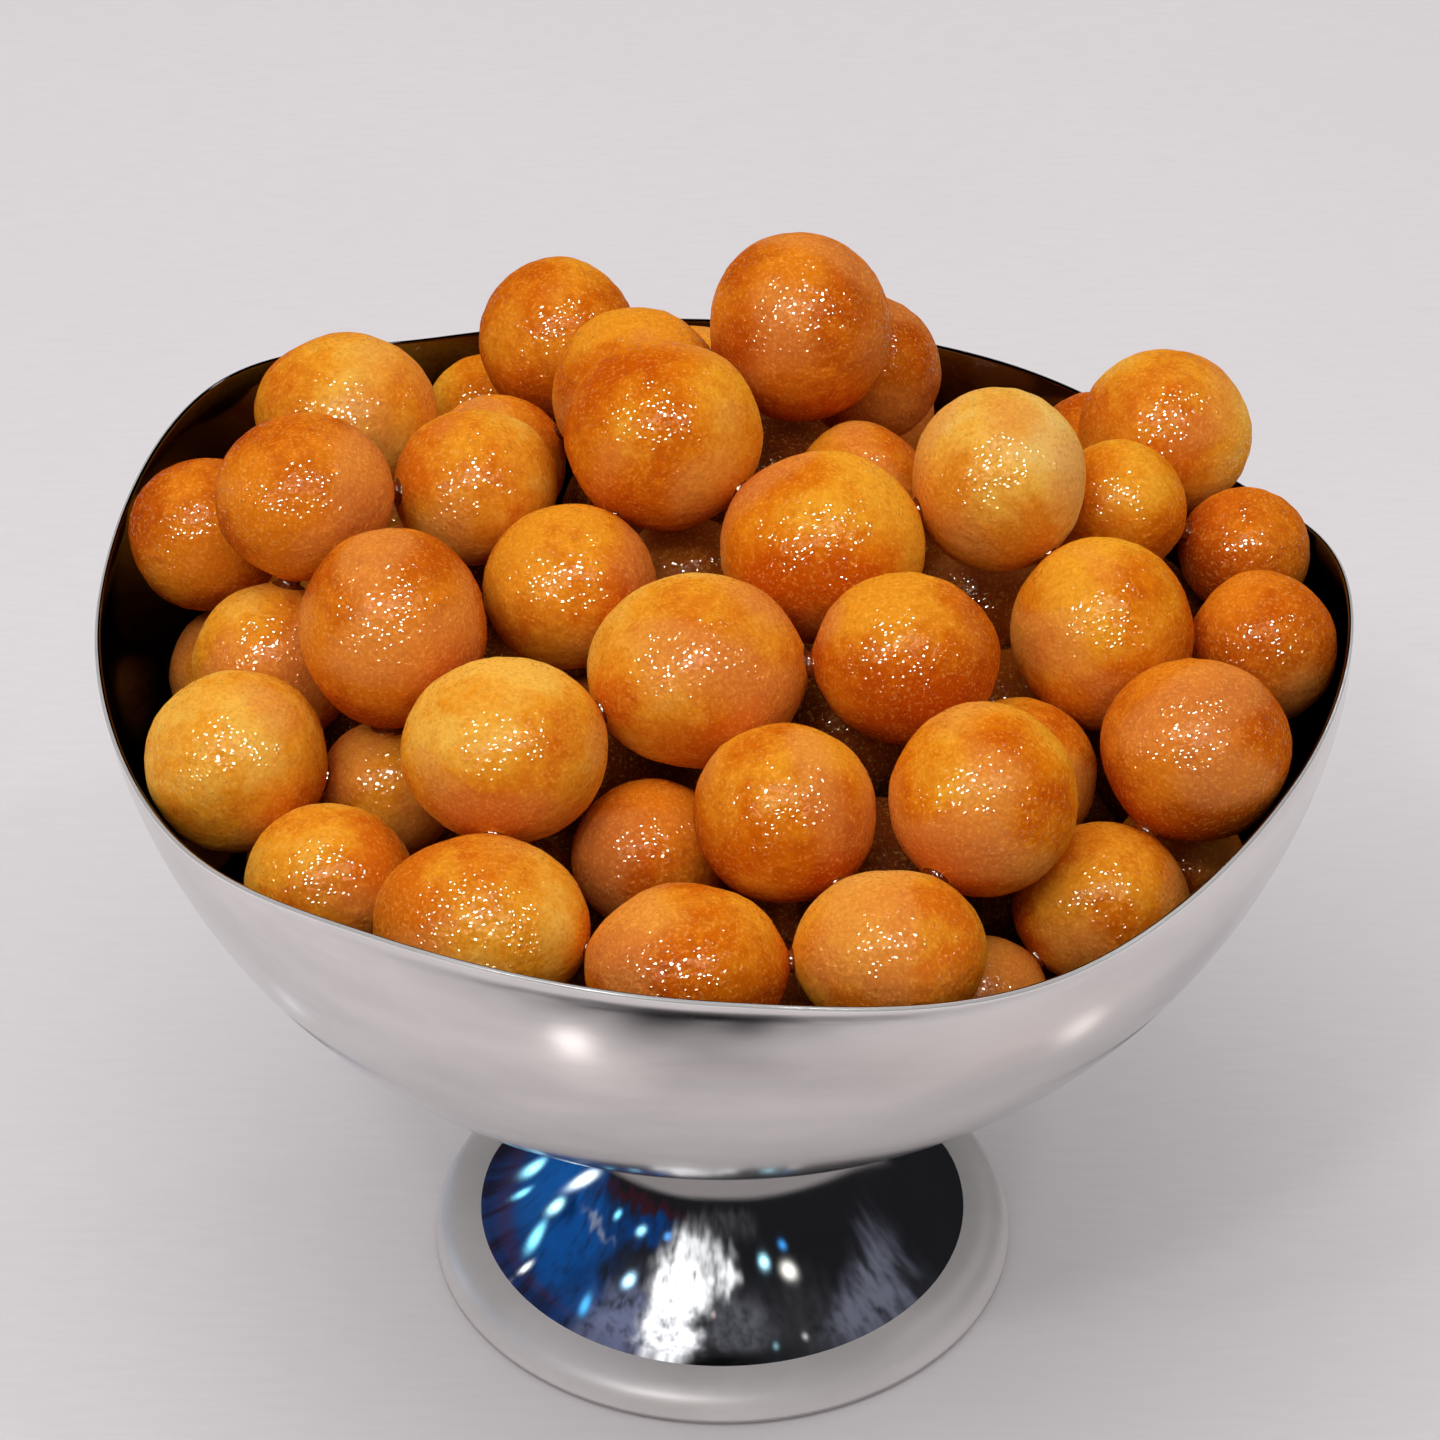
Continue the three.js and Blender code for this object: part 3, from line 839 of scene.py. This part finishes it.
def painted_glow(name, reach):
    """Glows in the mesh's own colour where that covers; not from behind, and fading over that reach."""
    n = Nodes(name)
    paint = n.add("ShaderNodeAttribute", attribute_name="glow")
    n.into("Emission Color", paint.outputs["Color"])
    n.set(Emission_Strength=1.0)
    clear = n.add("ShaderNodeBsdfTransparent")
    mixed = n.add("ShaderNodeMixShader")
    front = n.grey(n.add("ShaderNodeNewGeometry").outputs["Backfacing"], 0, 1, 1, 0)
    near = n.grey(n.add("ShaderNodeLightPath").outputs["Ray Length"], *reach, 1, 0)
    n.link(n.times(n.times(front, near), paint.outputs["Alpha"]), mixed.inputs[0])
    n.link(clear.outputs[0], mixed.inputs[1])
    n.link(n.shader.outputs[0], mixed.inputs[2])
    n.link(mixed.outputs[0], n.output.inputs["Surface"])
    return glow(n)


def table_top():
    """A pale matt floor with a faint fine weave of streaks."""
    n = Nodes("pale_table")
    n.set(Roughness=0.75, Specular_IOR_Level=0.25)
    streaks = n.noise(240, detail=4, rough=0.6, stretch=(0.35, 2.0, 1))
    clouds = n.noise(6, detail=3)
    shade = n.mix(n.grey(streaks, 0.35, 0.65, 0, 0.5), FLOOR_COLOUR, FLOOR_STREAK)
    shade = n.mix(n.grey(clouds, 0.3, 0.7, 0, 0.35), shade, FLOOR_STREAK)
    n.into("Base Color", shade)
    return n.material


# ---- studio ----

FLOOR_COLOUR = (0.748, 0.714, 0.730)
FLOOR_STREAK = (0.695, 0.662, 0.678)
FLOOR_HALF = 7.0
HEAP_MIDDLE = (0.0, 0.0, 0.14)
HORIZON = (0.22, 0.217, 0.22)
ZENITH = (0.94, 0.933, 0.94)

CAMERA_DISTANCE = 0.916  # metres from the camera to the point it looks at
CAMERA_TARGET = (-0.0005, 0.0, 0.1369)
CAMERA_ELEVATION = math.radians(35.15)
FOCAL_PIXELS = 4502
PHOTO_PIXELS = 1440
SENSOR = 36.0

# Studio spots: name, place in metres, width, watts.
SPOTS = [
    ("spot_front", (-0.35, -0.97, 1.40), 0.12, 2.1),
    ("spot_rear", (0.90, 1.06, 1.40), 0.12, 0.8),
    ("spot_right", (0.56, -0.42, 1.40), 0.10, 1.2),
    ("spot_left", (-0.83, -0.96, 1.40), 0.10, 1.3),
]
CEILING = ("ceiling", (-0.65, -0.45, 1.95), 2.0, 13.4)

# Lamps that only the gloss of the syrup shows: name, place, width, watts.
GLINT_COLOUR = (1.0, 0.93, 0.74)
GLINTS = [
    ("glint_front", (-0.35, -0.97, 1.40), 0.34, 165.0),
    ("glint_middle", (0.10, -0.80, 1.50), 0.34, 145.0),
    ("glint_side", (0.45, -0.75, 1.20), 0.26, 68.0),
    ("glint_left", (-0.83, -0.96, 1.10), 0.26, 68.0),
]

# What the polished foot mirrors, painted inside a drum that stands under the bowl's overhang. Each
# soft patch has its turn in degrees from -Y towards +X, its height in millimetres, its half width in
# degrees, its half height, how many degrees it leans for each millimetre of height, how fully it
# covers, and its colour. Many places started from a traced reflection, and were then moved.
DRUM_RADIUS = 95
DRUM_HEIGHT = 96
DRUM_REACH = (0.100, 0.112)  # metres from what mirrors the drum over which it fades
DRUM_SHOULDER = (40, 0.7)  # from this turn on, how much lower the drum is for each degree
DRUM_TURNS = 400
DRUM_ROWS = 150
DRUM_DARK = (0.012, 0.012, 0.014)
TABLE_PALE = (0.29, 0.26, 0.255)
TABLE_REACH = (29, 7, 5.6)  # how high the mirrored floor reaches in front, and its drop to each side
TABLE_TURN = (98, 114)  # over these turns the foot itself comes to hide it
SOFT_ROOM_PAINT = [
    (-104, 9, 20, 12, 1.0, 1.0, (0.008, 0.085, 0.31)),
    (-95, 20, 20, 9, 0.0, 1.0, (0.010, 0.095, 0.34)),
    (-76, 36, 20, 13, 0.5, 1.0, (0.007, 0.075, 0.29)),
    (-86, 26, 5, 4, 1.0, 0.7, (0.003, 0.020, 0.085)),
    (-60, 47, 7, 5, 1.5, 0.7, (0.003, 0.018, 0.070)),
    (-45, 36, 18, 5, 1.5, 0.9, (0.005, 0.045, 0.19)),
    (-62, 55, 12, 12, 0.0, 0.9, (0.010, 0.060, 0.22)),
    (-44, 70, 15, 20, 0.0, 0.9, (0.17, 0.19, 0.31)),
    (-66, 33, 2, 5, 2.0, 0.8, (0.22, 0.26, 0.36)),
    (-45, 29, 9, 6, 4.0, 0.9, (0.040, 0.010, 0.016)),
    (8, 72, 14, 16, 0.0, 0.8, (0.12, 0.12, 0.14)),
    (36, 68, 18, 20, 0.0, 0.7, (0.036, 0.036, 0.040)),
    (2, 36, 15, 4, 0.0, 0.6, (0.060, 0.060, 0.063)),
    (62, 53, 10, 20, -0.8, 0.9, (0.14, 0.145, 0.19)),
    (-22, 76, 11, 22, 0.0, 0.9, (1.5, 1.5, 1.55)),
    (-18, 53, 12, 13, 0.0, 1.0, (2.2, 2.2, 2.2)),
    (-12, 45, 11, 5, 0.0, 0.9, (1.1, 1.1, 1.1)),
    (2, 50, 4, 7, 0.0, 1.0, (1.3, 1.3, 1.3)),
    (-158, 60, 24, 26, 0.0, 0.9, (0.24, 0.24, 0.245)),
    (152, 46, 18, 24, 0.0, 0.8, (0.15, 0.15, 0.155)),
]
# Painted reflections of small lamps, and of a dark crescent with a maroon rim, laid without waver.
CRISP_ROOM_PAINT = [
    (-111, 26, 12, 44, 1.2, 1.0, (0.012, 0.005, 0.008)),
    (-100.5, 26, 1.6, 34, 1.2, 0.45, (0.060, 0.016, 0.024)),
    (-85, 20, 6, 1.6, 0.0, 1.0, (3.0, 3.6, 3.8)),
    (-91, 24.5, 2.2, 1.6, 1.0, 1.0, (1.4, 2.8, 3.2)),
    (-89, 31, 1.5, 3.2, 0.6, 1.0, (0.6, 2.0, 2.7)),
    (-84, 38.8, 1.0, 1.2, 0.0, 1.0, (2.2, 2.4, 2.4)),
    (-109, 16.8, 1.2, 1.2, 0.6, 1.0, (0.5, 1.7, 2.3)),
    (-117, 9, 1.8, 2.4, 0.8, 1.0, (0.9, 2.3, 2.8)),
    (-57, 56, 1.6, 3.6, 0.0, 0.9, (0.15, 0.9, 1.8)),
    (-42, 50, 2.4, 1.8, 0.0, 1.0, (1.6, 2.8, 3.6)),
    (-42, 37, 2.2, 1.0, 0.0, 1.0, (0.9, 2.1, 2.9)),
    (-57, 32, 1.6, 0.9, 0.0, 1.0, (0.5, 1.8, 2.5)),
    (-28, 39, 1.8, 0.9, 0.0, 0.9, (0.2, 0.7, 1.7)),
    (20, 46, 2.2, 1.7, 0.0, 1.0, (1.4, 2.8, 3.3)),
    (31, 48, 3.2, 2.2, 0.0, 1.0, (2.4, 2.3, 2.1)),
    (30, 41, 1.8, 1.1, 0.0, 0.9, (0.1, 0.6, 1.5)),
    (34, 74, 0.9, 1.8, 0.0, 0.9, (1.0, 1.0, 1.0)),
    (22, 82, 0.9, 2.6, 0.0, 0.8, (0.4, 0.8, 0.9)),
    (-4, 64, 0.8, 1.6, 0.0, 0.9, (0.9, 0.7, 0.7)),
]
SMEAR_SIZE = 6  # millimetres across a waver in the mirrored patches
SMEAR = 3.0
CRUMBLE_SIZE = 2.2

# What the bowl mirrors on the floor, painted just above it: the same, with a radius for the height.
SHEET_RADII = (130, 330)
SHEET_TURNS = (-140, 140)
SHEET_STEPS = (200, 70)
SHEET_HEIGHT = 1
SHEET_REACH = (5.0, 6.0)
PAINTED_FLOOR_PATCHES = [
    (-70, 160, 32, 60, 0.0, 0.25, (0.66, 0.63, 0.66)),
    (50, 155, 24, 34, 0.0, 0.30, (0.72, 0.63, 0.59)),
    (5, 170, 24, 22, 0.0, 0.40, (0.32, 0.29, 0.29)),
    (100, 150, 14, 50, 0.0, 0.25, (0.30, 0.28, 0.30)),
    (-6, 300, 44, 34, 0.0, 0.60, (0.12, 0.115, 0.125)),
    (-3, 268, 30, 60, 0.0, 0.85, (0.07, 0.065, 0.075)),
    (-3, 276, 15, 68, 0.0, 1.0, (0.0, 0.0, 0.0)),
    (-21, 168, 9, 22, 0.0, 0.45, (0.95, 0.88, 0.86)),
    (-23, 190, 3.4, 17, 0.0, 0.95, (1.7, 1.62, 1.6)),
    (66, 148, 4.5, 10, 0.0, 0.90, (1.35, 1.25, 1.2)),
    (-93, 136, 4, 8, 0.0, 0.6, (1.0, 1.0, 1.05)),
]
SHADE_SIZE = 28  # millimetres across a waver in them


def aim(obj, target):
    away = Vector(obj.location) - Vector(target)
    obj.rotation_euler = away.to_track_quat("Z", "Y").to_euler()


def lamp(name, place, width, power, shape="DISK", colour=(1.0, 0.985, 0.97)):
    light = bpy.data.lights.new(name, "AREA")
    light.shape = shape
    light.size = width
    light.energy = power
    light.color = colour
    made = bpy.data.objects.new(name, light)
    made.location = place
    made.visible_camera = False
    bpy.context.scene.collection.objects.link(made)
    aim(made, HEAP_MIDDLE)
    return made


def only_gloss(obj):
    """Shows a studio piece to gloss alone."""
    obj.visible_camera = False
    obj.visible_diffuse = False
    obj.visible_shadow = False


def paint(rows, turns, levels, sharpness, density, colours, cover):
    """Lays soft patches over colours and their cover, at points given by turn and height or radius."""
    for centre, level, half_turn, half_level, lean, strength, colour in rows:
        across = (turns - centre - lean * (levels - level)) / half_turn
        along = (levels - level) / half_level
        share = strength * np.exp(-((across**2 + along**2) ** sharpness))
        share = np.clip(share * density, 0, 1)
        colours = colours * (1 - share[:, None]) + np.array(colour) * share[:, None]
        cover = 1 - (1 - cover) * (1 - share)
    return colours, cover


def painted_sheet(name, points, columns, colours, cover, reach):
    """A sheet of points in rows of that many columns, glowing in its painted colours for gloss alone."""
    faces = []
    for i in range(len(points) // columns - 1):
        for j in range(columns - 1):
            a = i * columns + j
            faces.append((a, a + columns, a + columns + 1, a + 1))
    sheet = new_object(name, points, faces, [painted_glow(name, reach)])
    attribute = sheet.data.attributes.new("glow", "FLOAT_COLOR", "POINT")
    attribute.data.foreach_set("color", np.column_stack([colours, cover]).ravel())
    only_gloss(sheet)


def round_points(turns, radii, heights):
    """Points in millimetres from turns in degrees from -Y towards +X."""
    around = np.radians(turns)
    return np.stack([radii * np.sin(around), -radii * np.cos(around), heights + 0 * turns], 1)


def painted_room_reflections():
    """Painted reflections of dim surroundings, soft patches and small lamps, which only the polished foot
    mirrors.
    """
    columns = np.linspace(-180, 180, DRUM_TURNS + 1)
    turns, heights = np.meshgrid(columns, np.linspace(0, DRUM_HEIGHT, DRUM_ROWS + 1))
    turns, heights = turns.ravel(), heights.ravel()
    points = round_points(turns, DRUM_RADIUS, heights)
    waver = [SMEAR * noise_at(points, SMEAR_SIZE, shift) for shift in (7.0, 31.0)]
    crumble = noise_at(points, CRUMBLE_SIZE, 11.0) + noise_at(points, SMEAR_SIZE, 53.0)
    density = np.clip(1 + 0.8 * crumble, 0.1, 2)
    colours = np.tile(DRUM_DARK, (len(turns), 1))
    cover = np.ones(len(turns))
    colours, cover = paint(
        SOFT_ROOM_PAINT, turns + 1.5 * waver[0], heights + waver[1], 2.0, density, colours, cover
    )
    colours, cover = paint(CRISP_ROOM_PAINT, turns, heights, 1.3, 1.0, colours, cover)
    front, left, right = TABLE_REACH
    reach = front - np.where(turns < 0, left, right) * (turns / 60) ** 2
    pale = soft_step(reach - heights, -1.0, 1.5) * (1 - soft_step(abs(turns), *TABLE_TURN))
    pale = pale[:, None]
    colours = colours * (1 - pale) + np.array(TABLE_PALE) * pale
    shoulder, slope = DRUM_SHOULDER
    top = DRUM_HEIGHT - slope * np.maximum(0, abs(turns) - shoulder)
    cover = soft_step(top - heights, 0, 3)
    painted_sheet("painted_room_reflections", points, len(columns), colours, cover, DRUM_REACH)


def painted_table_reflections():
    """Painted reflections: the dark and bright patches that the bowl mirrors from below, glowing just above
    the floor.
    """
    columns = np.linspace(*SHEET_TURNS, SHEET_STEPS[0] + 1)
    turns, radii = np.meshgrid(columns, np.linspace(*SHEET_RADII, SHEET_STEPS[1] + 1))
    turns, radii = turns.ravel(), radii.ravel()
    points = round_points(turns, radii, SHEET_HEIGHT)
    density = np.clip(1 + 0.6 * noise_at(points, SHADE_SIZE, 5.0), 0, 2)
    nothing = np.zeros((len(turns), 3))
    colours, cover = paint(PAINTED_FLOOR_PATCHES, turns, radii, 1.2, density, nothing, nothing[:, 0])
    colours = colours / np.maximum(cover, 1e-3)[:, None]
    painted_sheet("painted_table_reflections", points, len(columns), colours, cover, SHEET_REACH)


def room():
    """The pale floor, and a pale surround that only the camera sees."""
    half = FLOOR_HALF / MM
    corners = [(-half, -half, 0), (half, -half, 0), (half, half, 0), (-half, half, 0)]
    floor = new_object("table_top", corners, [(0, 1, 2, 3)], [table_top()], smooth=False)
    outline = [(half * 0.98, -1.0), (half * 0.98, half * 0.5), (half * 0.6, half * 0.85), (0, half)]
    vertices, faces = revolve(outline, 64)
    surround = new_object("surround", vertices, faces, [plain_glow("surround_glow", FLOOR_COLOUR, 1.0)])
    surround.visible_diffuse = False
    surround.visible_glossy = False
    surround.visible_transmission = False
    surround.visible_shadow = False


def world():
    """Soft light from all round, more of it from above, which gloss does not mirror."""
    made = bpy.data.worlds.new("soft_room")
    made.use_nodes = True
    tree = made.node_tree
    height = tree.nodes.new("ShaderNodeSeparateXYZ")
    tree.links.new(tree.nodes.new("ShaderNodeTexCoord").outputs["Generated"], height.inputs[0])
    sky = tree.nodes.new("ShaderNodeMix")
    sky.data_type = "RGBA"
    sky.inputs[6].default_value = (*HORIZON, 1)
    sky.inputs[7].default_value = (*ZENITH, 1)
    tree.links.new(height.outputs["Z"], sky.inputs[0])
    tree.links.new(sky.outputs[2], tree.nodes["Background"].inputs["Color"])
    bpy.context.scene.world = made
    made.cycles_visibility.glossy = False


def camera():
    data = bpy.data.cameras.new("camera")
    data.sensor_width = SENSOR
    data.lens = SENSOR * FOCAL_PIXELS / PHOTO_PIXELS
    made = bpy.data.objects.new("camera", data)
    x, y, z = CAMERA_TARGET
    back = CAMERA_DISTANCE * math.cos(CAMERA_ELEVATION)
    made.location = (x, y - back, z + CAMERA_DISTANCE * math.sin(CAMERA_ELEVATION))
    made.rotation_euler = (math.pi / 2 - CAMERA_ELEVATION, 0, 0)
    bpy.context.scene.collection.objects.link(made)
    bpy.context.scene.camera = made


def lights(glossy_pieces):
    """A soft panel and spots for everything, and lamps whose glints only the syrup shows."""
    panel = lamp(*CEILING, shape="SQUARE")
    panel.visible_glossy = False
    for spot in SPOTS:
        lamp(*spot)
    syrup_only = bpy.data.collections.new("syrup_coated")
    for piece in glossy_pieces:
        syrup_only.objects.link(piece)
    for glint in GLINTS:
        made = lamp(*glint, colour=GLINT_COLOUR)
        made.visible_diffuse = False
        made.light_linking.receiver_collection = syrup_only


# ---- the whole ----


def heap():
    """All balls, the layers under them and the syrup between them; gives back the pieces."""
    doughs = {slot: dough(slot, tones) for slot, tones in DOUGH.items()}
    nodes = sorted(n for n in frame["nodes"] if n[-1].isdigit())
    forms = [Form(node) for node in nodes]
    most_corners = max(form.corners for form in forms)
    touching = touches(forms)
    fine, coarse = icosphere(FRONT_DETAIL), icosphere(BACK_DETAIL)
    pieces = []
    for number, (node, form) in enumerate(zip(nodes, forms)):
        sphere = fine if form.corners == most_corners else coarse
        grown = round_touches(number, sphere[0], touching, TOUCH_SPREAD, closing)
        near_contact = round_touches(number, sphere[0], touching, SOAK_SPREAD, lambda gap: 1.0)
        tone = RETONED_BALLS.get(node, slot_of(node))
        pieces.append(ball(node, form, grown, near_contact, sphere, doughs[tone], number + 1))
    pieces.append(lower_layers("luqaimat_lower_layers", dough("lower_dough_shade", SHADED_LOWER_DOUGH, 0.15)))
    pieces.append(syrup_bridges(forms, touching, syrup()))
    return pieces


def vessel():
    satin = steel("satin_steel", (0.77, 0.735, 0.725), 0.165, 0.03, 0.003, 0.12)
    # The inside's steel colour is far darker than bare steel: painted shade for the dark that it mirrors.
    polished = steel("polished_inside", (0.15, 0.135, 0.14), 0.10, 0.03, 0.001, 0.1)
    lip = steel("bright_lip", (0.92, 0.90, 0.89), 0.25, 0.02, 0.002, 0.0, metal=0.55)
    mirror = steel("mirror_steel", (0.86, 0.87, 0.89), 0.045, 0.02, 0.001, 0.10)
    band = steel("satin_band", (0.79, 0.75, 0.74), 0.44, 0.03, 0.003, 0.05, metal=0.35)
    bowl(satin, polished, lip)
    foot(band, mirror)


bpy.context.scene.view_settings.view_transform = "Standard"
camera()
world()
room()
painted_room_reflections()
painted_table_reflections()
vessel()
lights(heap())
